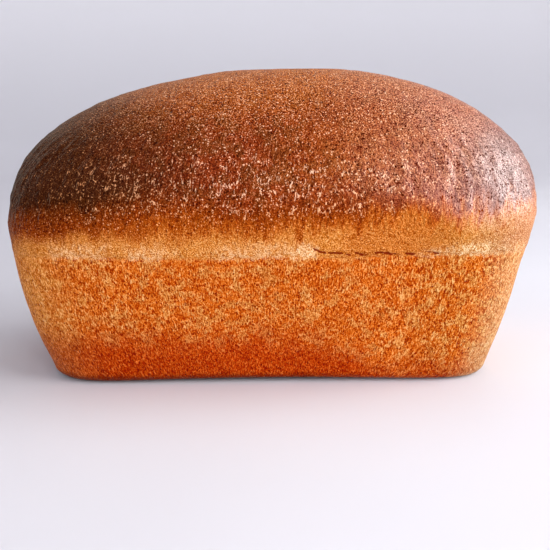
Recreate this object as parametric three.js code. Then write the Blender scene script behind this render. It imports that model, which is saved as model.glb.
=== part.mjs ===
// A tin loaf: one long loaf of wholemeal bread, baked as a single piece in a flared loaf tin.
//
// The lower part is what the tin shaped: a flat base with a soft edge, and walls that lean out up
// to the tin's rim. Above the rim the dough rose freely. It swells a little over the rim, most of
// all at the right-hand end, and closes in a high dome whose top leans to the right.
//
// Millimetres. +X runs along the loaf, +Y to its back, +Z up. The base lies on z = 0 and the
// origin is under the middle of the loaf's own box.

import * as THREE from "three";
import { mergeVertices } from "three/addons/utils/BufferGeometryUtils.js";

// ---- Driving dimensions ----

const BASE_HALF_LENGTH = 110.5;
const BASE_HALF_WIDTH = 51;
const RIM_HALF_LENGTH = 126;
const RIM_HALF_WIDTH = 63;
const RIM_HEIGHT = 66;
const BASE_EDGE_RADIUS = 4.5;
const END_WALL_BOW = 0.58; // how far the end walls bow outwards, as a share of their lean

const DOME_RISE = 85;
const DOME_LONG_POWER = 3.5; // how long the dome's outline stays upright at its ends
const DOME_LONG_ROUNDNESS = 1.9;
const DOME_CROSS_POWER = 2.2; // the same two for its front and back
const DOME_CROSS_ROUNDNESS = 2.2;
const TOP_LEAN = 9; // how far the top sits to the right of the tin's middle
const TOP_LEAN_POWER = 1.25;

const SWELL_SHARE = 0.7; // the swelling over the rim ends at this share of the rise
const LEFT_SWELL = 1.3;
const RIGHT_SWELL = 4;
const SIDE_SWELL = 2;

const CORNER_SHARPNESS_TIN = 6.2; // superellipse powers of the level outline
const CORNER_SHARPNESS_TOP = 2.5;
const CORNER_FADE_POWER = 1.5;

const SIDES = 80; // points around each level outline
const EDGE_RINGS = 5;
const WALL_RINGS = 9;
const DOME_RINGS = 22;

// ---- Outline of the loaf at each height ----

// A hump that rises from nothing at the rim to 1 and dies out again at SWELL_SHARE.
function swell(rise) {
  const t = Math.min(rise / SWELL_SHARE, 1);
  const peak = 27 / 4; // the inverse of the highest value of t (1 - t)^2
  return peak * t * (1 - t) ** 2;
}

// Half length at each end, half width, sideways shift and corner sharpness of the outline at z.
function levelOutline(z) {
  if (z <= RIM_HEIGHT) {
    const up = z / RIM_HEIGHT;
    const bowed = up + END_WALL_BOW * up * (1 - up);
    const below = Math.max(BASE_EDGE_RADIUS - z, 0);
    const edge = BASE_EDGE_RADIUS - Math.sqrt(BASE_EDGE_RADIUS ** 2 - below ** 2);
    const halfLength = THREE.MathUtils.lerp(BASE_HALF_LENGTH, RIM_HALF_LENGTH, bowed) - edge;
    const halfWidth = THREE.MathUtils.lerp(BASE_HALF_WIDTH, RIM_HALF_WIDTH, up) - edge;
    return { left: halfLength, right: halfLength, halfWidth, shift: 0, power: CORNER_SHARPNESS_TIN };
  }
  const rise = Math.min((z - RIM_HEIGHT) / DOME_RISE, 1);
  const length = RIM_HALF_LENGTH * (1 - rise ** DOME_LONG_POWER) ** (1 / DOME_LONG_ROUNDNESS);
  const width = RIM_HALF_WIDTH * (1 - rise ** DOME_CROSS_POWER) ** (1 / DOME_CROSS_ROUNDNESS);
  return {
    left: length + LEFT_SWELL * swell(rise),
    right: length + RIGHT_SWELL * swell(rise),
    halfWidth: width + SIDE_SWELL * swell(rise),
    shift: TOP_LEAN * rise ** TOP_LEAN_POWER,
    power: THREE.MathUtils.lerp(CORNER_SHARPNESS_TIN, CORNER_SHARPNESS_TOP, rise ** CORNER_FADE_POWER),
  };
}

// Heights of the rings: close together at the base edge and towards the top of the dome.
function ringHeights() {
  const heights = [];
  for (let i = 0; i < EDGE_RINGS; i += 1) {
    const turn = (i / EDGE_RINGS) * (Math.PI / 2);
    heights.push(BASE_EDGE_RADIUS * (1 - Math.cos(turn)));
  }
  for (let i = 0; i < WALL_RINGS; i += 1) {
    heights.push(THREE.MathUtils.lerp(BASE_EDGE_RADIUS, RIM_HEIGHT, i / WALL_RINGS));
  }
  for (let i = 0; i < DOME_RINGS; i += 1) {
    heights.push(RIM_HEIGHT + DOME_RISE * Math.sin((i / DOME_RINGS) * (Math.PI / 2)));
  }
  return heights;
}

// ---- The loaf ----

// A round lathed blank of radius 1, with one ring at each height, closed on the axis.
function latheBlank() {
  const profile = [new THREE.Vector2(0, 0)];
  for (const z of ringHeights()) {
    profile.push(new THREE.Vector2(1, z));
  }
  profile.push(new THREE.Vector2(0, RIM_HEIGHT + DOME_RISE));
  const blank = new THREE.LatheGeometry(profile, SIDES);
  blank.rotateX(Math.PI / 2);
  return blank;
}

// Each point of the blank moves out to the loaf's outline at its own height.
function loafGeometry() {
  const blank = latheBlank();
  const points = blank.attributes.position;
  for (let i = 0; i < points.count; i += 1) {
    const x = points.getX(i);
    const y = points.getY(i);
    const outline = levelOutline(points.getZ(i));
    const round = Math.hypot(x, y);
    let reach = 0;
    if (round > 0) {
      const across = Math.abs(x / round) ** outline.power;
      const along = Math.abs(y / round) ** outline.power;
      reach = (across + along) ** (-1 / outline.power);
    }
    const halfLength = x < 0 ? outline.left : outline.right;
    points.setX(i, x * reach * halfLength + outline.shift);
    points.setY(i, y * reach * outline.halfWidth);
  }
  blank.deleteAttribute("normal");
  blank.deleteAttribute("uv");
  const loaf = mergeVertices(blank);
  loaf.computeBoundingBox();
  const middle = loaf.boundingBox.getCenter(new THREE.Vector3());
  loaf.translate(-middle.x, -middle.y, 0);
  loaf.computeVertexNormals();
  return loaf;
}

const crust = new THREE.MeshStandardMaterial({
  name: "crust",
  color: new THREE.Color(0.47, 0.2, 0.075),
  roughness: 0.6,
  metalness: 0,
});

const loaf = new THREE.Mesh(loafGeometry(), crust);
loaf.name = "loaf";

const tinLoaf = new THREE.Group();
tinLoaf.add(loaf);

export default tinLoaf;
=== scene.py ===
import math

import bmesh
import bpy
import numpy as np
from mathutils import Matrix, Vector, noise


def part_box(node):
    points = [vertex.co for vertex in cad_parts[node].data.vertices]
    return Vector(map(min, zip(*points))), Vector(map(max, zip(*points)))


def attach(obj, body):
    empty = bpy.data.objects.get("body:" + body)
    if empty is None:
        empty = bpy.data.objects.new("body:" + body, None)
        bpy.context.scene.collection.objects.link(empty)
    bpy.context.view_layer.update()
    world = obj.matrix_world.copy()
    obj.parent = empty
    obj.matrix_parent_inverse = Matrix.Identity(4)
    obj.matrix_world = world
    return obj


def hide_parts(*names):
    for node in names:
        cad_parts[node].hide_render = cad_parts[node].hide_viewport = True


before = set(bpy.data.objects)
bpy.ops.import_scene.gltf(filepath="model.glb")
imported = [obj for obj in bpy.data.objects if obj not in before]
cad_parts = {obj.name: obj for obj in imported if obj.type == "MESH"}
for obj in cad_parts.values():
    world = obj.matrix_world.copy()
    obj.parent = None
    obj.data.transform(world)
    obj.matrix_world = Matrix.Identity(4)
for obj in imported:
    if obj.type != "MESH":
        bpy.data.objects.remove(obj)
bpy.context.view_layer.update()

# The looks of a wholemeal tin loaf, in metres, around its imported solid. Materials work in
# millimetres, because the grain of the crust is named in them.

MM = 0.001

# ---- Sizes of the loaf: the same driving dimensions as its solid ----

BASE_HALF_LENGTH = 110.5 * MM
BASE_HALF_WIDTH = 51 * MM
RIM_HALF_LENGTH = 126 * MM
RIM_HALF_WIDTH = 63 * MM
RIM_HEIGHT = 66 * MM
BASE_EDGE_RADIUS = 4.5 * MM
END_WALL_BOW = 0.58

DOME_RISE = 85 * MM
DOME_LONG_POWER = 3.5
DOME_LONG_ROUNDNESS = 1.9
DOME_CROSS_POWER = 2.2
TOP_LEAN = 9 * MM
TOP_LEAN_POWER = 1.25

SWELL_SHARE = 0.7
LEFT_SWELL = 1.3 * MM
RIGHT_SWELL = 4 * MM
SIDE_SWELL = 2 * MM

CORNER_SHARPNESS_TIN = 6.2
CORNER_SHARPNESS_TOP = 2.5
CORNER_FADE_POWER = 1.5

# The mesh that is shaped into the loaf, and its noises.
CELLS = 96  # cells along the shorter edges of the block that the loaf is shaped from
RIM_ROWS_REACH = 7 * MM  # within this of the rim the rows of cells are closer together
RIM_ROWS_SQUEEZE = 0.55
SHOULDER_TURN = 0.62  # how far up the dome the block's sides reach, as an angle of its arc
SHOULDER_RADIUS = 75 * MM
LENGTH_SHARE = 0.992  # of the solid's length, which leaves room for the lumps at the ends
NEAR = 1e-6  # closer than this to a face of the block counts as on it
TINY = 1e-12  # keeps the middle of the top and of the base from dividing by zero
WAY_STEPS = 2001  # of the table that spaces the rows
OCTAVE_FADE = 0.9  # how fast the finer octaves of a noise weaken
OCTAVE_STEP = 2.0  # how much finer each octave is than the one before


# ---- Small helpers ----

def deselect_all():
    for other in bpy.context.selected_objects:
        other.select_set(False)


def get_points(mesh):
    points = np.empty(len(mesh.vertices) * 3)
    mesh.vertices.foreach_get("co", points)
    return points.reshape(-1, 3)


def set_points(mesh, points):
    mesh.vertices.foreach_set("co", points.ravel())
    mesh.update()


def get_normals(mesh):
    normals = np.empty(len(mesh.vertices) * 3)
    mesh.vertices.foreach_get("normal", normals)
    return normals.reshape(-1, 3)


def smooth_step(low, high, value):
    share = np.clip((value - low) / (high - low), 0, 1)
    return share * share * (3 - 2 * share)


def noise_field(points, spacing, octaves, stretch=(1, 1, 1), shift=0.0):
    """Soft noise from about -1 to 1 at each point, with its bumps about a spacing apart. Each use
    has a shift of its own, so that the bumps of two layers don't fall together."""
    scaled = points / (np.array(stretch) * spacing) + shift
    return np.array([noise.fractal(p, OCTAVE_FADE, OCTAVE_STEP, octaves) for p in scaled])


# ---- The loaf's plain shape ----

def swell(rise):
    """A hump over the rim that is 0 at the rim, 1 at its highest and 0 from SWELL_SHARE up."""
    share = np.clip(rise / SWELL_SHARE, 0, 1)
    to_one = 27 / 4
    return to_one * share * (1 - share) ** 2


def loaf_outline(height, edge):
    """Half lengths to the left and right, half width, shift and corner power of a level outline."""
    up = np.clip(height / RIM_HEIGHT, 0, 1)
    rise = np.clip((height - RIM_HEIGHT) / DOME_RISE, 0, 1)
    bowed = up + END_WALL_BOW * up * (1 - up)
    in_tin = height <= RIM_HEIGHT
    tin_length = BASE_HALF_LENGTH + (RIM_HALF_LENGTH - BASE_HALF_LENGTH) * bowed - edge
    tin_width = BASE_HALF_WIDTH + (RIM_HALF_WIDTH - BASE_HALF_WIDTH) * up - edge
    dome_length = RIM_HALF_LENGTH * (1 - rise ** DOME_LONG_POWER) ** (1 / DOME_LONG_ROUNDNESS)
    dome_width = RIM_HALF_WIDTH * (1 - rise ** DOME_CROSS_POWER) ** (1 / DOME_CROSS_POWER)
    length = np.where(in_tin, tin_length, dome_length)
    width = np.where(in_tin, tin_width, dome_width) + SIDE_SWELL * swell(rise)
    left = length + LEFT_SWELL * swell(rise)
    right = length + RIGHT_SWELL * swell(rise)
    shift = TOP_LEAN * rise ** TOP_LEAN_POWER
    fade = rise ** CORNER_FADE_POWER
    power = CORNER_SHARPNESS_TIN + (CORNER_SHARPNESS_TOP - CORNER_SHARPNESS_TIN) * fade
    return left, right, width, shift, power


def way_up(share):
    """Distance from the base edge up the side at a share of the rows, which are closer together
    at the rim, and the distances where the wall and the dome start."""
    edge_way = BASE_EDGE_RADIUS * math.pi / 2
    rim_way = edge_way + RIM_HEIGHT - BASE_EDGE_RADIUS
    whole = rim_way + SHOULDER_TURN * SHOULDER_RADIUS
    table = np.linspace(0, whole, WAY_STEPS)
    from_rim = (table - rim_way) / RIM_ROWS_REACH
    rows = np.cumsum(1 + RIM_ROWS_SQUEEZE / (1 - RIM_ROWS_SQUEEZE) * np.exp(-from_rim ** 2))
    rows = (rows - rows[0]) / (rows[-1] - rows[0])
    return np.interp(share, rows, table), edge_way, rim_way


def side_profile(share):
    """Height, rounding of the base edge and way up the side at a share of the rows."""
    way, edge_way, rim_way = way_up(share)
    turn = np.clip(way / BASE_EDGE_RADIUS, 0, math.pi / 2)
    edge = BASE_EDGE_RADIUS * (1 - np.sin(turn))
    on_wall = np.clip(way, edge_way, rim_way) - edge_way
    dome_turn = np.clip(way - rim_way, 0, None) / SHOULDER_RADIUS
    height = BASE_EDGE_RADIUS * (1 - np.cos(turn)) + on_wall + DOME_RISE * np.sin(dome_turn)
    return height, edge, way


def shape_loaf(block):
    """Moves the points of a block from -1 to 1 onto the loaf: its sides become the walls and the
    lower dome, its top the rest of the dome and its underside the base. Also gives each point's
    flow: the place where its line down from the top crosses the rim, and its way up the side."""
    spread = np.maximum(np.abs(block[:, 0]), np.abs(block[:, 1]))
    safe = np.where(spread > 0, spread, 1)
    across = block[:, 0] / safe
    along = block[:, 1] / safe
    height, edge, way = side_profile((block[:, 2] + 1) / 2)
    shoulder = (1 - math.sin(SHOULDER_TURN) ** DOME_CROSS_POWER) ** (1 / DOME_CROSS_POWER)
    top_rise = (1 - (shoulder * spread) ** DOME_CROSS_POWER) ** (1 / DOME_CROSS_POWER)
    on_top = block[:, 2] > 1 - NEAR
    on_base = block[:, 2] < -1 + NEAR
    height = np.where(on_top, RIM_HEIGHT + DOME_RISE * top_rise, height)
    way = np.where(on_top, way + (1 - spread) * RIM_HALF_WIDTH, way)
    left, right, width, shift, power = loaf_outline(height, edge)
    reach = np.where(on_base, spread, 1.0)
    corner = (np.abs(across) ** power + np.abs(along) ** power + TINY) ** (-1 / power)
    x = np.where(across < 0, left, right) * across * corner * reach + shift
    y = width * along * corner * reach
    rim_x = across * corner * RIM_HALF_LENGTH
    rim_y = along * corner * RIM_HALF_WIDTH
    return np.column_stack((x, y, height)), np.column_stack((rim_x, rim_y, way))


def block_of_cells():
    """A cube cut in two across its length and divided into cells that are square on the loaf."""
    deselect_all()
    bpy.ops.mesh.primitive_cube_add(size=2)
    piece = bpy.context.object
    bpy.ops.object.mode_set(mode="EDIT")
    bpy.ops.mesh.select_all(action="SELECT")
    bpy.ops.mesh.bisect(plane_co=(0, 0, 0), plane_no=(1, 0, 0))
    bpy.ops.mesh.select_all(action="SELECT")
    bpy.ops.mesh.subdivide(number_cuts=CELLS - 1)
    bpy.ops.mesh.select_all(action="DESELECT")
    bpy.ops.object.mode_set(mode="OBJECT")
    return piece


def make_loaf():
    piece = block_of_cells()
    piece.name = "baked_loaf"
    mesh = piece.data
    points, flow = shape_loaf(get_points(mesh))
    low, high = np.array(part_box("loaf"))
    off_centre = (points.min(0) + points.max(0) - low - high) / 2
    points = (points - off_centre * (1, 1, 0)) * (LENGTH_SHARE, 1, 1)
    set_points(mesh, draw_in_sides(points))
    layer = mesh.attributes.new("flow", "FLOAT_VECTOR", "POINT")
    layer.data.foreach_set("vector", flow.ravel())
    return piece, flow


# ---- Relief of the crust ----

UNDERSIDE_ARCH = 1.5 * MM  # how far the middle of the base is lifted off the floor
ARCH_HALF_LENGTH = 96 * MM
ARCH_HEIGHT = 14 * MM
WAIST = 2.2 * MM  # how far the long walls are drawn in half way along, at the base
EASED_EDGE = 1.5 * MM  # where the relief nears the solid's box, it is eased back over this

LUMP_RISE = 0.8 * MM
LUMP_SPACING = 60 * MM
DENT_RISE = 0.30 * MM
DENT_SPACING = 13 * MM
DENTS_ON_WALLS = 0.35  # as a share of their rise on the dome
GRIT_RISE = 0.16 * MM
GRIT_SPACING = 3.6 * MM
GRIT_ON_WALLS = 0.5
DOME_STARTS = (0 * MM, 12 * MM)  # where the dome's relief starts over the crease, and is complete
BASE_ENDS = (0.5 * MM, 8 * MM)  # where the walls' relief starts over the base, and is complete

WRINKLE_RISE = 0.55 * MM
WRINKLE_SPACING = 3.4 * MM
WRINKLE_STRETCH = (1, 1, 2.5)  # longer down the dome than along it
WRINKLES_START = (8 * MM, 18 * MM)
WRINKLES_FADE = (44 * MM, 62 * MM)

CREASE_DROP = 0.3 * MM  # the crease line is this far under the height of the tin's rim
CREASE_WANDER = 1.0 * MM
CREASE_WANDER_SPACING = 34 * MM
CREASE_LIFT = -0.2 * MM  # the crease's height over its line
CREASE_HALF_WIDTH = 0.8 * MM
CREASE_DEPTH = 0.22 * MM
CREASE_TEARS = 0.4 * MM  # the tears make it this much deeper or shallower
LIP_LIFT = 1.9 * MM  # the torn lip's height over the crease line
LIP_HALF_WIDTH = 1.7 * MM
LIP_RISE = 0.22 * MM
LIP_TEARS = 0.5 * MM
TEAR_SPACING = 4.5 * MM
RIM_FADES = (100 * MM, 120 * MM)  # where the lip and the crease weaken, towards both ends
RIM_FADE = 0.75  # how much of them is gone there
END_RIM_FILL = 1.0 * MM  # the ends bulge over the rim with no sharp step
END_RIM_HALF_WIDTH = 6 * MM
END_RIM_STARTS = (98 * MM, 120 * MM)

CRACK_START = 19 * MM
CRACK_END = 88 * MM
CRACK_OPENS_OVER = 4 * MM
CRACK_CLOSES_OVER = 9 * MM
CRACK_GAPS = (-0.35, -0.05)  # of a noise: closed under the first, open over the second
CRACK_LIFT = 1.2 * MM  # height of the crack over the crease line
CRACK_HIGH_END = 4.5 * MM  # its left end curls up this much more
CRACK_CURL_LENGTH = 7 * MM
CRACK_WANDER = 1.1 * MM
CRACK_WANDER_SPACING = 6 * MM
CRACK_GAP_SPACING = 4 * MM
CRACK_DEPTH = 0.7 * MM
CRACK_HALF_WIDTH = 0.42 * MM
CRACK_LIP_RISE = 0.45 * MM
CRACK_LIP_LIFT = 1.8 * MM  # height of the raised lip over the crack
CRACK_LIP_HALF_WIDTH = 1.2 * MM

# Slow bulges and hollows of the ends, the rim and the top, in millimetres: place along the loaf,
# height, half length, half height and rise.
BULGES = [
    (-116, 108, 26, 16, 2.1),
    (118, 106, 26, 24, 1.3),
    (-126, 66, 18, 8, -1.7),
    (-112, 6, 16, 14, -1.5),
    (-50, 146, 34, 18, -0.9),
    (62, 146, 34, 18, 0.9),
]


def hump(value, middle, half_width):
    return np.exp(-((value - middle) / half_width) ** 2)


def draw_in_sides(points):
    """The long walls drawn in at their middle and the base arched, as a cooled loaf's are."""
    x, y, z = points.T
    in_middle = np.clip(1 - (x / ARCH_HALF_LENGTH) ** 2, 0, 1)
    low = np.clip(1 - z / RIM_HEIGHT, 0, 1)
    narrower = 1 - WAIST / BASE_HALF_WIDTH * in_middle * low
    lifted = z + UNDERSIDE_ARCH * in_middle * np.exp(-z / ARCH_HEIGHT)
    return np.column_stack((x, y * narrower, lifted))


def crease_line(points):
    """Height of the crease that the tin's rim left, which wanders a little."""
    wander = CREASE_WANDER * noise_field(points * (1, 1, 0), CREASE_WANDER_SPACING, 2, shift=5.2)
    return RIM_HEIGHT - CREASE_DROP + wander


def lumpy_relief(points, flow, above):
    """Lumps, dents and grit on all but the base, and wrinkles under the shoulder."""
    on_dome = smooth_step(*DOME_STARTS, above)
    off_base = smooth_step(*BASE_ENDS, points[:, 2])
    lumps = LUMP_RISE * noise_field(points, LUMP_SPACING, 2)
    dents = DENT_RISE * noise_field(points, DENT_SPACING, 3, shift=7.3)
    dents *= DENTS_ON_WALLS + (1 - DENTS_ON_WALLS) * on_dome
    grit = GRIT_RISE * noise_field(points, GRIT_SPACING, 2, shift=3.1)
    grit *= GRIT_ON_WALLS + (1 - GRIT_ON_WALLS) * on_dome
    wrinkles = noise_field(flow, WRINKLE_SPACING, 2, stretch=WRINKLE_STRETCH, shift=11.7)
    wrinkled = smooth_step(*WRINKLES_START, above) * (1 - smooth_step(*WRINKLES_FADE, above))
    return (lumps + dents + grit) * off_base + WRINKLE_RISE * wrinkles * wrinkled


def rim_relief(points, flow, above):
    """The torn lip over the crease and the crease itself, both weaker at the ends."""
    torn = noise_field(flow, TEAR_SPACING, 3, shift=2.4)
    off_ends = 1 - RIM_FADE * smooth_step(*RIM_FADES, np.abs(points[:, 0]))
    lip = hump(above, LIP_LIFT, LIP_HALF_WIDTH) * (LIP_RISE + LIP_TEARS * torn)
    crease = hump(above, CREASE_LIFT, CREASE_HALF_WIDTH) * (CREASE_DEPTH + CREASE_TEARS * torn)
    return (lip - crease) * off_ends


def open_crack(flow, above):
    """How open the crack at the front is at each point, with torn gaps, and its raised lip."""
    level = flow * (1, 1, 0)
    gaps = noise_field(level, CRACK_GAP_SPACING, 2, shift=21.0)
    cracked = smooth_step(CRACK_START, CRACK_START + CRACK_OPENS_OVER, flow[:, 0])
    cracked *= 1 - smooth_step(CRACK_END - CRACK_CLOSES_OVER, CRACK_END, flow[:, 0])
    cracked *= (flow[:, 1] < 0) * smooth_step(*CRACK_GAPS, gaps)
    line = CRACK_LIFT + CRACK_WANDER * noise_field(level, CRACK_WANDER_SPACING, 5, shift=14.0)
    from_start = np.clip(flow[:, 0] - CRACK_START, 0, None)
    line += CRACK_HIGH_END * np.exp(-from_start / CRACK_CURL_LENGTH)
    lip = cracked * hump(above, line + CRACK_LIP_LIFT, CRACK_LIP_HALF_WIDTH)
    return cracked * hump(above, line, CRACK_HALF_WIDTH), lip


def bulging_relief(points, above):
    """The slow bulges and hollows, and the fill over the rim at the ends."""
    relief = np.zeros(len(points))
    for x, height, half_length, half_height, rise in BULGES:
        along = hump(points[:, 0], x * MM, half_length * MM)
        relief += rise * MM * along * hump(points[:, 2], height * MM, half_height * MM)
    ends = smooth_step(*END_RIM_STARTS, np.abs(points[:, 0]))
    return relief + END_RIM_FILL * ends * hump(above, 0, END_RIM_HALF_WIDTH)


def raise_crust(piece, flow):
    """The relief of the crust, pushed out along the normals. It leaves each point's height over
    the crease line and how open the crack is there, for the material."""
    mesh = piece.data
    points = get_points(mesh)
    normals = get_normals(mesh)
    above = points[:, 2] - crease_line(points)
    crack, crack_lip = open_crack(flow, above)
    relief = lumpy_relief(points, flow, above) + rim_relief(points, flow, above)
    relief += CRACK_LIP_RISE * crack_lip - CRACK_DEPTH * crack
    relief += bulging_relief(points, above)
    set_points(mesh, points + normals * relief[:, None])
    for name, values in (("above_rim", above), ("crack", crack)):
        layer = mesh.attributes.new(name, "FLOAT", "POINT")
        layer.data.foreach_set("value", values)


def keep_in_box(piece, low, high):
    """Eases back what stands out of the solid's own box, so that the relief doesn't enlarge it."""
    points = get_points(piece.data)
    middle = (np.array(low) + np.array(high)) / 2
    half = (np.array(high) - np.array(low)) / 2 - EASED_EDGE
    out = np.clip(np.abs(points - middle) - half, 0, None)
    eased = half + EASED_EDGE * (1 - np.exp(-out / EASED_EDGE))
    eased = middle + np.sign(points - middle) * eased
    eased[:, 2] = np.where(points[:, 2] < middle[2], np.clip(points[:, 2], 0, None), eased[:, 2])
    set_points(piece.data, np.where(out > 0, eased, points))


# ---- Node helpers ----

NOISE_MIDDLE = 0.5  # of the noises, which go from 0 to 1


class Graph:
    """Adds nodes to one material and joins them as they are made."""

    def __init__(self, tree):
        self.tree = tree

    def node(self, kind, inputs=None, **settings):
        """A new node with its settings, and with a number or another node on each stated input."""
        made = self.tree.nodes.new(kind)
        for name, value in settings.items():
            setattr(made, name, value)
        for socket, value in (inputs or {}).items():
            self.put(made.inputs[socket], value)
        return made

    def put(self, socket, value):
        if isinstance(value, bpy.types.NodeSocket):
            self.tree.links.new(value, socket)
        else:
            socket.default_value = value

    def math(self, operation, first, second=0.0, third=0.0):
        made = self.node("ShaderNodeMath", operation=operation)
        for socket, value in zip(made.inputs, (first, second, third)):
            self.put(socket, value)
        return made.outputs[0]

    def times(self, first, *others):
        """All the values multiplied together."""
        for other in others:
            first = self.math("MULTIPLY", first, other)
        return first

    def scaled(self, value, factor, added):
        """value times factor, plus what is added."""
        return self.math("MULTIPLY_ADD", value, factor, added)

    def offset(self, value, noise_value, reach):
        """value moved up and down by noise over a whole stretch of reach."""
        return self.scaled(self.math("SUBTRACT", noise_value, NOISE_MIDDLE), reach, value)

    def blend(self, share, first, second):
        """A number between first and second."""
        made = self.node("ShaderNodeMix", data_type="FLOAT")
        for socket, value in zip(made.inputs[:1] + made.inputs[2:4], (share, first, second)):
            self.put(socket, value)
        return made.outputs[0]

    def stretch(self, vector, factors):
        """A place with each of its three parts multiplied, which draws a pattern out or in."""
        made = self.node("ShaderNodeVectorMath", operation="MULTIPLY")
        self.put(made.inputs[0], vector)
        self.put(made.inputs[1], factors)
        return made.outputs[0]

    def noise(self, vector, size, detail=2.0, roughness=0.5, warp=0.0):
        """Noise from 0 to 1 with features of about the given size in millimetres."""
        inputs = {"Vector": vector, "Scale": 1 / size, "Detail": detail,
                  "Roughness": roughness, "Distortion": warp}
        return self.node("ShaderNodeTexNoise", inputs).outputs["Fac"]

    def flecks(self, vector, size, share, soft):
        """Round flecks in a share of the cells of a pattern with cells of size millimetres. soft
        says how far out from its middle a fleck starts and is complete, as parts of a cell."""
        cells = self.node("ShaderNodeTexVoronoi", {"Vector": vector, "Scale": 1 / size}).outputs
        chosen = self.node("ShaderNodeSeparateColor", {0: cells["Color"]}).outputs[0]
        chosen = self.math("LESS_THAN", chosen, share)
        return self.times(self.between(cells["Distance"], *soft), chosen)

    def curls(self, vector, size, width, broken_by):
        """Short thin curling lines, where a noise passes its middle and another one lets them show."""
        away = self.math("ABSOLUTE", self.math("SUBTRACT", self.noise(vector, size, 1), NOISE_MIDDLE))
        return self.times(self.between(away, width, 0.0), self.between(broken_by, 0.52, 0.58))

    def between(self, value, low, high, to_low=0.0, to_high=1.0):
        """A smooth change from to_low to to_high as value goes from low to high."""
        inputs = {0: value, 1: low, 2: high, 3: to_low, 4: to_high}
        made = self.node("ShaderNodeMapRange", inputs, interpolation_type="SMOOTHSTEP")
        return made.outputs[0]

    def ramp(self, value, stops):
        """Colours laid over value, from stops of a place and a colour."""
        made = self.node("ShaderNodeValToRGB", {0: value})
        made.color_ramp.interpolation = "LINEAR"
        elements = made.color_ramp.elements
        while len(elements) > 1:
            elements.remove(elements[-1])
        elements[0].position = stops[0][0]
        elements[0].color = (*stops[0][1], 1)
        for place, colour in stops[1:]:
            elements.new(place).color = (*colour, 1)
        return made.outputs[0]

    def mix(self, share, first, second, blend="MIX"):
        """The first colour with a share of the second laid over it."""
        made = self.node("ShaderNodeMix", data_type="RGBA", blend_type=blend)
        self.put(made.inputs[0], share)
        for socket, value in ((made.inputs[6], first), (made.inputs[7], second)):
            self.put(socket, (*value, 1) if isinstance(value, tuple) else value)
        return made.outputs[2]


def new_material(name):
    material = bpy.data.materials.new(name)
    material.use_nodes = True
    tree = material.node_tree
    shader = next(n for n in tree.nodes if n.type == "BSDF_PRINCIPLED")
    return material, Graph(tree), shader


# ---- Materials ----

PER_MM = (1 / MM, 1 / MM, 1 / MM)  # turns a place into millimetres


def tone(red, green, blue):
    """A linear colour from the 0 to 255 values that a paint chart gives, by the sRGB curve."""
    def linear(value):
        share = value / 255
        return share / 12.92 if share <= 0.04045 else ((share + 0.055) / 1.055) ** 2.4
    return linear(red), linear(green), linear(blue)


# Five tones of each stretch of crust, from its dark pores to its light flecks. On the dome the light
# flecks are partly pale crust and partly painted glints.
DOME_TONES = [(72, 10, 0), (104, 26, 0), (134, 46, 2), (166, 74, 28), (246, 190, 156)]
BROWN_TONES = [(62, 16, 0), (94, 34, 0), (124, 54, 12), (154, 80, 36), (242, 192, 158)]
# Darker at the left of the dome: partly a darker bake, partly painted shade.
SCORCHED_AND_SHADED_TONES = [(32, 8, 0), (50, 17, 0), (66, 27, 2), (88, 43, 13), (190, 130, 84)]
# Lighter on top and to the right of the dome: partly lighter crust, partly painted light.
FAIR_AND_LIT_TONES = [(72, 14, 0), (128, 44, 0), (190, 98, 20), (212, 126, 56), (242, 196, 158)]
RUSSET_TONES = [(84, 16, 0), (116, 36, 0), (142, 56, 2), (172, 82, 22), (234, 168, 120)]
AMBER_TONES = [(136, 44, 0), (160, 64, 2), (186, 90, 16), (208, 114, 38), (232, 144, 70)]
# A painted grey-lilac sheen at the right end of the dome.
PAINTED_SHEEN_TONES = [(76, 44, 36), (106, 72, 62), (132, 96, 86), (152, 116, 106), (200, 170, 160)]
BAND_TONES = [(164, 78, 8), (196, 112, 34), (216, 138, 62), (228, 156, 86), (240, 176, 110)]
# Paler low at the right end of the dome: partly less browned crust, partly painted sheen.
FADED_AND_SHEEN_TONES = [(146, 82, 44), (166, 106, 64), (184, 128, 88), (196, 144, 106), (212, 168, 134)]
CREAM_TONES = [(180, 104, 46), (212, 146, 86), (230, 174, 116), (242, 194, 142), (252, 214, 170)]
WALL_TONES = [(132, 28, 0), (164, 56, 0), (196, 90, 14), (218, 118, 38), (242, 154, 82)]
TAN_TONES = [(138, 52, 2), (170, 84, 22), (200, 116, 46), (220, 144, 72), (240, 174, 108)]
# Darker and redder low on the walls: painted shade and painted red bounce light.
LOW_SHADE_TONES = [(126, 16, 0), (148, 32, 0), (172, 54, 0), (194, 78, 12), (222, 110, 42)]
# The left end of the walls: partly less baked crust, partly painted grazing light.
GOLDEN_AND_LIT_TONES = [(170, 78, 6), (200, 112, 30), (222, 142, 60), (236, 164, 88), (248, 188, 118)]
# The right end of the walls: partly paler crust, partly painted rim light.
PALE_AND_LIT_TONES = [(150, 88, 40), (172, 114, 64), (190, 138, 88), (204, 158, 110), (218, 182, 140)]
TONE_PLACES = (0.33, 0.43, 0.50, 0.57, 0.68)  # of the grain's noise, for the five tones
# Darker along the foot: painted contact shadow and the base's darker edge.
FOOT_SHADE_TONE = tone(104, 22, 0)
# Painted shade inside the crack.
CRACK_SHADE_TONE = tone(120, 22, 0)
COOLER_TINT = (0.88, 0.96, 1.0)
SHEEN_TINT = (1.0, 0.87, 0.66, 1)

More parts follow.
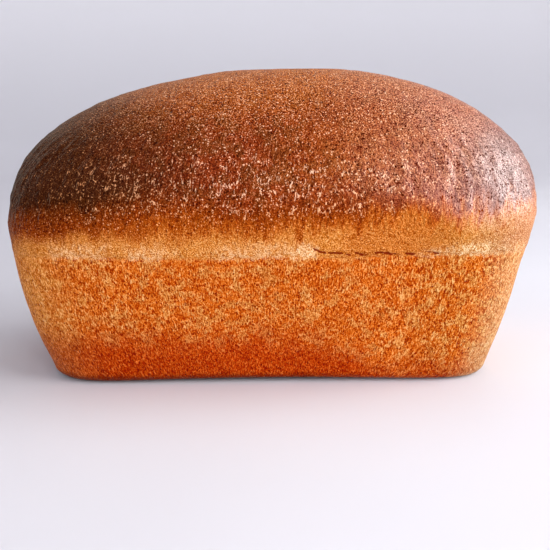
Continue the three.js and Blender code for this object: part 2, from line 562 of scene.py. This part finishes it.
# Changes over the crust. Each pair is where a change starts and where it is complete, in
# millimetres. OVER_ pairs are heights over the crease that the tin's rim left, UP_ pairs heights
# over the foot, and ALONG_ pairs places along the loaf from its middle, negative at the left.
OVER_WRINKLES = (6, 18)
OVER_WRINKLES_END = (64, 44)
OVER_CURLS = (12, 24)
OVER_CURLS_END = (54, 36)
OVER_SCORCHED_AND_SHADED = (8, 28)
OVER_TOP = (50, 84)
OVER_FAIR_AND_LIT = (22, 40)
OVER_RUSSET = (32, 15)
OVER_AMBER = (21, 7)
OVER_PAINTED_SHEEN = (8, 20)
OVER_PAINTED_SHEEN_END = (68, 46)
OVER_BAND = (13.5, 4.5)
OVER_FADED_AND_SHEEN = (19, 6)
OVER_COOLER = (12, 1)
OVER_CREASE = (-1.3, 0.9)
OVER_CREAM = (-1.6, 0.4)
OVER_CREAM_END = (8.5, 2.5)
OVER_DOME_GRAIN = (-1, 1)
OVER_GLOSS = (14, 30)
UP_LOW_SHADE = (38, 14)
UP_GOLDEN_AND_LIT = (8, 46)
UP_FOOT_SHADE = (7, 2)
ALONG_SCORCHED_AND_SHADED = (-18, -84)
ALONG_LIGHTER_FLECKS = (-110, -74)
ALONG_DARKER_FLECKS = (55, 105)
ALONG_FAIR_AND_LIT = (-20, 55)
ALONG_FAIR_AND_LIT_LOWER = (30, 60)
ALONG_FAIR_AND_LIT_END = (118, 96)
ALONG_DRIPS = (-30, 60)
ALONG_HIGHER_AMBER = (0, 100)
ALONG_LOWER_TAN = (-48, -112)
ALONG_LOWER_BAND = (-85, -115)
ALONG_PAINTED_SHEEN = (78, 108)
ALONG_FADED_AND_SHEEN = (84, 118)
ALONG_LESS_LOW_SHADE = (10, 70)
ALONG_GOLDEN_AND_LIT = (-84, -118)
ALONG_PALE_AND_LIT = (98, 122)
ALONG_LESS_FOOT_SHADE = (10, 60)
ALONG_COOLER = (58, 82)
ALONG_COOLER_END = (116, 100)
ALONG_GLOSS = (12, 100)
ALONG_LOWER_GLOSS = (55, 98)
ALONG_GLOSS_DIMS = (100, 122)
DULL_BAND_MIDDLE = 58
DULL_BAND_EDGE = (32, 20)  # distance from its middle

# The noise of the grain, which the five tones are laid over: how strong it is, its middle, and how
# far bran, pores and drags move it to the dark or the light side.
GRIT_CONTRAST = 0.85
GRIT_MIDDLE = 0.47
BRAN_DARKNESS = -0.22
PORE_DARKNESS = -0.2
DRAG_LIGHTNESS = 0.16

FINE_RELIEF = 1.1 * MM

# Torn cream patches along the front rim: middle, half length and strength, in millimetres.
CREAM_PATCHES = [(-87, 14, 0.5), (-57, 7, 0.5), (-8, 19, 0.5), (14, 6, 0.9), (92, 10, 0.8)]


class Crust:
    """The places, heights, noises and grains that the stretches of the crust share. Lengths are in
    millimetres."""

    def __init__(self, g):
        place = g.node("ShaderNodeTexCoord").outputs["Object"]
        self.place = g.stretch(place, PER_MM)
        self.x, self.y, self.height = g.node("ShaderNodeSeparateXYZ", {0: self.place}).outputs
        flow = g.node("ShaderNodeAttribute", attribute_name="flow").outputs["Vector"]
        self.flow = g.stretch(flow, PER_MM)
        self.rim_x = g.node("ShaderNodeSeparateXYZ", {0: self.flow}).outputs[0]
        above = g.node("ShaderNodeAttribute", attribute_name="above_rim").outputs["Fac"]
        self.above = g.math("MULTIPLY", above, 1 / MM)
        self.crack = g.node("ShaderNodeAttribute", attribute_name="crack").outputs["Fac"]

        self.broad = g.noise(self.place, 45, 2)
        self.patchy = g.noise(self.place, 11, 3, 0.6)
        self.small = g.noise(self.place, 3.6, 3, 0.6)
        self.middling = g.noise(self.place, 2.3, 2, 0.6)
        self.grain = g.noise(self.place, 0.6, 1, 0.7)
        self.streaks = g.noise(g.stretch(self.flow, (1, 1, 0.2)), 1.7, 2, 0.6)

        starts = g.between(self.above, *OVER_WRINKLES)
        self.wrinkled = g.times(starts, g.between(self.above, *OVER_WRINKLES_END))
        self.crumbly = g.offset(g.offset(self.above, self.small, 5.0), self.grain, 2.0)
        self.ragged = self.ragged_height(g)
        self.banded = g.math("ADD", self.ragged, g.between(self.x, *ALONG_LOWER_BAND, 0, 5))
        self.dome_speck = self.dome_grain(g)
        self.wall_speck = self.wall_grain(g)

    def ragged_height(self, g):
        """Height over the rim, made ragged with drips that are longer towards the right."""
        ragged = g.offset(self.above, self.broad, 12.0)
        ragged = g.offset(ragged, self.patchy, 8.0)
        ragged = g.offset(ragged, self.streaks, 8.0)
        drips = g.noise(g.stretch(self.flow, (1, 1, 0.28)), 3.4, 2, 0.6)
        ragged = g.offset(ragged, drips, g.between(self.x, *ALONG_DRIPS, 6, 30))
        return g.math("SUBTRACT", ragged, g.between(self.x, *ALONG_HIGHER_AMBER, 1.5, 9))

    def dome_grain(self, g):
        """Fine grit with light curls of torn skin, light crumbs and dark bran. The curls and crumbs
        are partly pale crust and partly painted glints, fainter at the left end and towards the right.
        """
        downhill = g.noise(g.stretch(self.flow, (1, 1, 0.4)), 0.66, 1, 0.7)
        grit = g.blend(g.times(self.wrinkled, 0.35), self.grain, downhill)
        grit = g.math("SUBTRACT", g.offset(grit, self.middling, 0.08), NOISE_MIDDLE)
        grit = g.scaled(grit, GRIT_CONTRAST, GRIT_MIDDLE)
        curls = g.curls(g.stretch(self.flow, (1, 1, 0.6)), 2.3, 0.04, g.noise(self.place, 2.2, 1))
        threads = g.curls(g.stretch(self.flow, (1, 1, 0.4)), 1.8, 0.05, g.noise(self.place, 2.8, 1))
        curled = g.times(g.between(self.above, *OVER_CURLS), g.between(self.above, *OVER_CURLS_END))
        clumped = g.between(g.noise(self.place, 5, 2), 0.42, 0.54, 0.4, 1.0)
        # The light curls and crumbs are partly pale crust and partly painted glints.
        skin = g.times(g.math("MAXIMUM", curls, threads), g.scaled(curled, 0.8, 0.15), clumped)
        crumbs = g.flecks(self.place, 1.1, 0.13, (0.4, 0.2))
        off_left = g.between(g.offset(self.x, self.patchy, 24), *ALONG_LIGHTER_FLECKS, 0.25, 0.9)
        off_right = g.between(self.x, *ALONG_DARKER_FLECKS, 0.3, 0.17)
        light = g.times(g.math("MAXIMUM", skin, crumbs), off_right, off_left)
        bran = g.flecks(g.stretch(self.place, (1, 1, 0.8)), 1.4, 0.17, (0.4, 0.2))
        return g.scaled(bran, BRAN_DARKNESS, g.math("ADD", grit, light))

    def wall_grain(self, g):
        """Grit drawn out up the wall, with dark pores and light drags from the tin."""
        round_grit = g.noise(self.place, 0.7, 1, 0.75)
        long_grit = g.noise(g.stretch(self.flow, (1, 1, 0.42)), 0.75, 1, 0.75)
        pores = g.flecks(g.stretch(self.place, (1, 1, 0.7)), 1.2, 0.32, (0.38, 0.16))
        drags = g.curls(g.stretch(self.flow, (1, 1, 0.45)), 2.6, 0.045, g.noise(self.place, 2.4, 1))
        speck = g.scaled(pores, PORE_DARKNESS, g.blend(0.6, round_grit, long_grit))
        return g.scaled(drags, DRAG_LIGHTNESS, speck)


def palette(g, speck, tones):
    """The five tones of a stretch of crust, laid over the noise of its grain."""
    return g.ramp(speck, [(at, tone(*rgb)) for at, rgb in zip(TONE_PLACES, tones)])


def dome_colour(g, crust):
    """Brown, darker at the left as a darker bake and painted shade, lighter on top and to the right as
    lighter crust and painted light, with a painted grey-lilac sheen at the right end, over a russet,
    an amber and a pale stretch that lead down to the rim, paler at the right end partly with painted
    sheen."""
    x = crust.x
    above = crust.above
    banded = crust.banded
    speck = crust.dome_speck
    clusters = g.offset(speck, g.noise(crust.place, 6, 2, 0.6), 0.1)
    reddish = g.between(g.noise(crust.place, 8, 3, 0.6), 0.4, 0.56, 0.0, 0.8)

    # Darker at the left: partly a darker bake, partly painted shade.
    scorched_and_shaded = g.between(g.offset(x, crust.broad, 60), *ALONG_SCORCHED_AND_SHADED)
    scorched_and_shaded = g.times(scorched_and_shaded, g.between(above, *OVER_SCORCHED_AND_SHADED, 0.5, 1.0))

    # Lighter on top and to the right: partly lighter crust, partly painted light.
    on_top = g.times(g.between(above, *OVER_TOP), g.scaled(scorched_and_shaded, -0.5, 0.9))
    lowest_share = g.between(x, *ALONG_FAIR_AND_LIT_LOWER, 0.1, 1.0)
    high_up = g.between(g.offset(above, crust.patchy, 14), *OVER_FAIR_AND_LIT, lowest_share, 1.0)
    on_right = g.times(g.between(g.offset(x, crust.broad, 30), *ALONG_FAIR_AND_LIT, 0.0, 0.55), high_up)
    fair_and_lit = g.times(g.math("MAXIMUM", on_top, on_right), g.between(x, *ALONG_FAIR_AND_LIT_END))

    tanned = g.math("ADD", crust.ragged, g.between(x, *ALONG_LOWER_TAN, 0, 9))
    russet = g.between(tanned, *OVER_RUSSET)
    amber = g.between(tanned, *OVER_AMBER)

    # A painted grey-lilac sheen at the right end.
    painted_sheen = g.between(g.offset(x, crust.patchy, 16), *ALONG_PAINTED_SHEEN)
    painted_sheen = g.times(painted_sheen, g.between(above, *OVER_PAINTED_SHEEN_END, 0.0, 0.75))
    painted_sheen = g.times(painted_sheen, g.between(banded, *OVER_PAINTED_SHEEN))

    off_dull_part = g.math("ABSOLUTE", g.math("SUBTRACT", x, DULL_BAND_MIDDLE))
    duller = g.between(off_dull_part, *DULL_BAND_EDGE, 1.0, 0.5)
    band = g.times(g.between(banded, *OVER_BAND), duller)

    # Paler low at the right end: partly less browned crust, partly painted sheen.
    faded_and_sheen = g.between(g.offset(crust.rim_x, crust.patchy, 16.0), *ALONG_FADED_AND_SHEEN, 0.0, 0.9)
    faded_and_sheen = g.times(faded_and_sheen, g.between(banded, *OVER_FADED_AND_SHEEN))

    colour = g.mix(reddish, palette(g, clusters, BROWN_TONES), palette(g, clusters, DOME_TONES))
    stretches = [
        (scorched_and_shaded, clusters, SCORCHED_AND_SHADED_TONES),
        (fair_and_lit, clusters, FAIR_AND_LIT_TONES),
        (russet, speck, RUSSET_TONES),
        (amber, speck, AMBER_TONES),
        (painted_sheen, clusters, PAINTED_SHEEN_TONES),
        (band, speck, BAND_TONES),
        (faded_and_sheen, speck, FADED_AND_SHEEN_TONES),
    ]
    for share, noise_value, tones in stretches:
        colour = g.mix(share, colour, palette(g, noise_value, tones))
    return colour


def wall_colour(g, crust):
    """Orange with tan mottles; redder and darker low down and at the foot, which is painted shade and
    red bounce light, with the base's own darker edge at the foot; gold-coloured at the left end and
    paler at the right, each partly less baked crust and partly painted light.
    """
    x = crust.x
    height = crust.height
    patchy = crust.patchy
    mottled = g.offset(crust.wall_speck, g.noise(crust.place, 4.5, 3, 0.65), 0.2)
    tan = g.between(g.offset(g.noise(crust.place, 6.5, 3, 0.6), mottled, 0.35), 0.46, 0.62)

    # Darker and redder low down: painted shade and painted red bounce light.
    less_low_shade = g.between(g.offset(x, crust.broad, 40), *ALONG_LESS_LOW_SHADE, 0, 18)
    low = g.between(g.math("ADD", less_low_shade, g.offset(height, patchy, 22.0)), *UP_LOW_SHADE)

    # The left end: partly less baked crust, partly painted grazing light.
    golden_and_lit = g.between(g.offset(crust.rim_x, patchy, 30.0), *ALONG_GOLDEN_AND_LIT)
    golden_and_lit = g.times(golden_and_lit, g.between(g.offset(height, patchy, 20.0), *UP_GOLDEN_AND_LIT, 0.2, 0.7))
    # The right end: partly paler crust, partly painted rim light.
    pale = g.between(g.offset(crust.rim_x, patchy, 12.0), *ALONG_PALE_AND_LIT, 0.0, 0.85)

    colour = palette(g, mottled, WALL_TONES)
    stretches = [(tan, TAN_TONES), (low, LOW_SHADE_TONES), (golden_and_lit, GOLDEN_AND_LIT_TONES), (pale, PALE_AND_LIT_TONES)]
    for share, tones in stretches:
        colour = g.mix(share, colour, palette(g, mottled, tones))
    # The foot: painted contact shadow and the base's darker edge.
    foot = g.between(g.offset(height, crust.small, 4.0), *UP_FOOT_SHADE)
    foot = g.times(foot, g.between(x, *ALONG_LESS_FOOT_SHADE, 0.8, 0.1))
    return g.mix(foot, colour, FOOT_SHADE_TONE)


def add_cream_patches(g, crust, colour):
    """Torn dough along the rim: faint patches all round, and the CREAM_PATCHES at the front."""
    front = g.between(crust.y, 0, -20)
    wavering = g.offset(crust.x, crust.small, 8.0)
    torn = g.between(g.noise(crust.flow, 22, 2), 0.50, 0.66, 0.0, 0.5)
    for middle, half_length, strength in CREAM_PATCHES:
        distance = g.math("ABSOLUTE", g.math("SUBTRACT", wavering, middle))
        patch = g.between(distance, half_length * 1.3, half_length * 0.6, 0.0, strength)
        torn = g.math("MAXIMUM", torn, g.times(patch, front))
    fingers = g.offset(g.offset(crust.crumbly, crust.patchy, 9.0), crust.streaks, 7.0)
    by_rim = g.times(g.between(crust.crumbly, *OVER_CREAM), g.between(fingers, *OVER_CREAM_END))
    broken = g.between(crust.middling, 0.36, 0.54, 0.35, 1.1)
    cream = palette(g, g.offset(crust.grain, crust.middling, 0.5), CREAM_TONES)
    return g.mix(g.times(by_rim, torn, broken), colour, cream)


def cool_right_side(g, crust, colour):
    """A little less red on the walls and the rim, towards the right end."""
    side = g.times(g.between(crust.x, *ALONG_COOLER), g.between(crust.x, *ALONG_COOLER_END))
    side = g.times(side, g.between(crust.banded, *OVER_COOLER))
    return g.mix(side, colour, COOLER_TINT, "MULTIPLY")


def add_crack_shade(g, crust, colour):
    """Painted shade inside the open crack: a dark line broken into dashes."""
    by_grain = g.between(crust.grain, 0.3, 0.55, 0.6, 1.3)
    dashes = g.times(by_grain, g.between(crust.middling, 0.38, 0.54, 0.5, 1.3))
    return g.mix(g.between(g.times(crust.crack, dashes), 0.25, 0.5, 0.0, 0.95), colour, CRACK_SHADE_TONE)


def add_gloss(g, crust, shader):
    """A dry crust with a soft gloss on the right of the dome, which the dark pores don't have."""
    g.put(shader.inputs["Roughness"], g.between(crust.grain, 0.3, 0.7, 0.62, 0.8))
    shader.inputs["Specular IOR Level"].default_value = 0.03
    lower = g.between(crust.x, *ALONG_LOWER_GLOSS, -5, 8)
    gloss = g.between(g.math("ADD", g.offset(crust.above, crust.patchy, 10.0), lower), *OVER_GLOSS)
    along = g.between(g.offset(crust.x, crust.broad, 40), *ALONG_GLOSS, 0.04, 1.0)
    gloss = g.times(gloss, along, g.between(crust.x, *ALONG_GLOSS_DIMS, 1.0, 0.62))
    off_pores = g.between(crust.dome_speck, 0.36, 0.5)
    g.put(shader.inputs["Coat Weight"], g.times(gloss, off_pores))
    shader.inputs["Coat Roughness"].default_value = 0.48
    shader.inputs["Coat IOR"].default_value = 2.25
    shader.inputs["Sheen Weight"].default_value = 0.21
    shader.inputs["Sheen Roughness"].default_value = 0.22
    shader.inputs["Sheen Tint"].default_value = SHEEN_TINT
    return gloss


def add_fine_relief(g, crust, shader, gloss):
    """The grain and its creases as fine relief, flatter where the crust is glossy."""
    grain = g.blend(g.between(crust.crumbly, *OVER_DOME_GRAIN), crust.wall_speck, crust.dome_speck)
    creases = g.noise(g.stretch(crust.flow, (1, 1, 0.5)), 2.8, 3, 0.6, 0.6)
    creases = g.times(g.scaled(crust.wrinkled, 1.4, 0.3), creases)
    relief = g.times(g.scaled(grain, 0.85, creases), g.scaled(gloss, -0.6, 1.0))
    relief = g.scaled(crust.small, 0.5, relief)
    bump = g.node("ShaderNodeBump", {"Height": relief, "Strength": 1.0, "Distance": FINE_RELIEF})
    g.put(shader.inputs["Normal"], bump.outputs[0])


def crust_material():
    material, g, shader = new_material("baked crust")
    crust = Crust(g)
    on_dome = g.between(crust.crumbly, *OVER_CREASE)
    colour = g.mix(on_dome, wall_colour(g, crust), dome_colour(g, crust))
    colour = add_cream_patches(g, crust, colour)
    colour = cool_right_side(g, crust, colour)
    colour = add_crack_shade(g, crust, colour)
    g.put(shader.inputs["Base Color"], colour)
    gloss = add_gloss(g, crust, shader)
    add_fine_relief(g, crust, shader, gloss)
    return material


FLOOR_PAPER = (0.66, 0.655, 0.70)
WALL_PAPER = (0.88, 0.875, 0.92)


def studio_material():
    """Pale paper that is a little whiter where it turns up into the wall."""
    material, g, shader = new_material("pale paper")
    place = g.stretch(g.node("ShaderNodeTexCoord").outputs["Object"], PER_MM)
    height = g.node("ShaderNodeSeparateXYZ", {0: place}).outputs[2]
    cloudy = g.between(g.noise(place, 220, 2), 0.3, 0.7, 0.0, 0.12)
    raised = g.math("MAXIMUM", g.between(height, 20, 420), cloudy)
    g.put(shader.inputs["Base Color"], g.mix(raised, FLOOR_PAPER, WALL_PAPER))
    shader.inputs["Roughness"].default_value = 0.8
    shader.inputs["Specular IOR Level"].default_value = 0.2
    return material


# ---- The studio: a round pale sweep, soft lights and the camera ----

SWEEP_RADIUS = 1.7
SWEEP_BEND = 0.8
SWEEP_HEIGHT = 2.8
SWEEP_SIDES = 96
FLOOR_RINGS = 6
BEND_RINGS = 24


def sweep_rings():
    """Radius and height of each ring of the sweep, from near its middle out and up to its top."""
    flat = SWEEP_RADIUS - SWEEP_BEND
    rings = [(flat * i / FLOOR_RINGS, 0.0) for i in range(1, FLOOR_RINGS + 1)]
    for i in range(1, BEND_RINGS + 1):
        turn = i / BEND_RINGS * math.pi / 2
        rings.append((flat + SWEEP_BEND * math.sin(turn), SWEEP_BEND * (1 - math.cos(turn))))
    rings.append((SWEEP_RADIUS, SWEEP_HEIGHT))
    return rings


def make_sweep():
    """A floor that turns up into a wall all round, open at the top."""
    mesh = bpy.data.meshes.new("floor")
    work = bmesh.new()
    centre = work.verts.new((0, 0, 0))
    previous = None
    for radius, height in sweep_rings():
        ring = []
        for i in range(SWEEP_SIDES):
            turn = i / SWEEP_SIDES * 2 * math.pi
            ring.append(work.verts.new((radius * math.cos(turn), radius * math.sin(turn), height)))
        for i in range(SWEEP_SIDES):
            j = (i + 1) % SWEEP_SIDES
            if previous is None:
                work.faces.new((centre, ring[i], ring[j]))
            else:
                work.faces.new((previous[i], ring[i], ring[j], previous[j]))
        previous = ring
    for face in work.faces:
        face.smooth = True
    work.to_mesh(mesh)
    work.free()
    floor = bpy.data.objects.new("floor", mesh)
    bpy.context.scene.collection.objects.link(floor)
    floor.data.materials.append(studio_material())


LIGHTS_AIM = (0, 0, 0.07)
WINDOW_PLACE = (0.95, -0.26, 0.50)
WINDOW_SIZE = (1.1, 0.9)
WINDOW_POWER = 18.3
FILL_PLACE = (0.25, -0.95, 0.42)
FILL_SIZE = (0.6, 0.5)
FILL_POWER = 4.2
TOP_PLACE = (0.3, 0.3, 1.3)
TOP_SIZE = (0.9, 0.9)
TOP_POWER = 3.0
ROOM_COLOUR = (1.0, 0.98, 0.97, 1)
ROOM_STRENGTH = 0.35


def soft_light(name, place, size, power):
    lamp = bpy.data.lights.new(name, "AREA")
    lamp.shape = "RECTANGLE"
    lamp.size, lamp.size_y = size
    lamp.energy = power
    light = bpy.data.objects.new(name, lamp)
    bpy.context.scene.collection.objects.link(light)
    light.location = place
    aim = Vector(LIGHTS_AIM) - Vector(place)
    light.rotation_euler = aim.to_track_quat("-Z", "Y").to_euler()
    light.visible_camera = False
    return light


def make_lights():
    soft_light("window", WINDOW_PLACE, WINDOW_SIZE, WINDOW_POWER)
    fill = soft_light("front fill", FILL_PLACE, FILL_SIZE, FILL_POWER)
    fill.visible_glossy = False
    soft_light("top", TOP_PLACE, TOP_SIZE, TOP_POWER)
    world = bpy.data.worlds.new("room")
    world.use_nodes = True
    background = world.node_tree.nodes["Background"]
    background.inputs[0].default_value = ROOM_COLOUR
    background.inputs[1].default_value = ROOM_STRENGTH
    bpy.context.scene.world = world


CAMERA_PLACE = (1.4 * MM, -420 * MM, 142.2 * MM)
CAMERA_PITCH = math.radians(13.3)
CAMERA_ROLL = math.radians(0.5)
LENS = 52.4
SENSOR_WIDTH = 36


def make_camera():
    data = bpy.data.cameras.new("camera")
    data.lens = LENS
    data.sensor_width = SENSOR_WIDTH
    camera = bpy.data.objects.new("camera", data)
    bpy.context.scene.collection.objects.link(camera)
    pitch = Matrix.Rotation(math.pi / 2 - CAMERA_PITCH, 4, "X")
    roll = Matrix.Rotation(-CAMERA_ROLL, 4, "Z")
    camera.matrix_world = Matrix.Translation(CAMERA_PLACE) @ pitch @ roll
    bpy.context.scene.camera = camera


# ---- Build ----

loaf, loaf_flow = make_loaf()
raise_crust(loaf, loaf_flow)
keep_in_box(loaf, *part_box("loaf"))
for polygon in loaf.data.polygons:
    polygon.use_smooth = True
loaf.data.materials.append(crust_material())
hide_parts("loaf")
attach(loaf, "root")

make_sweep()
make_lights()
make_camera()
bpy.context.scene.view_settings.view_transform = "Standard"
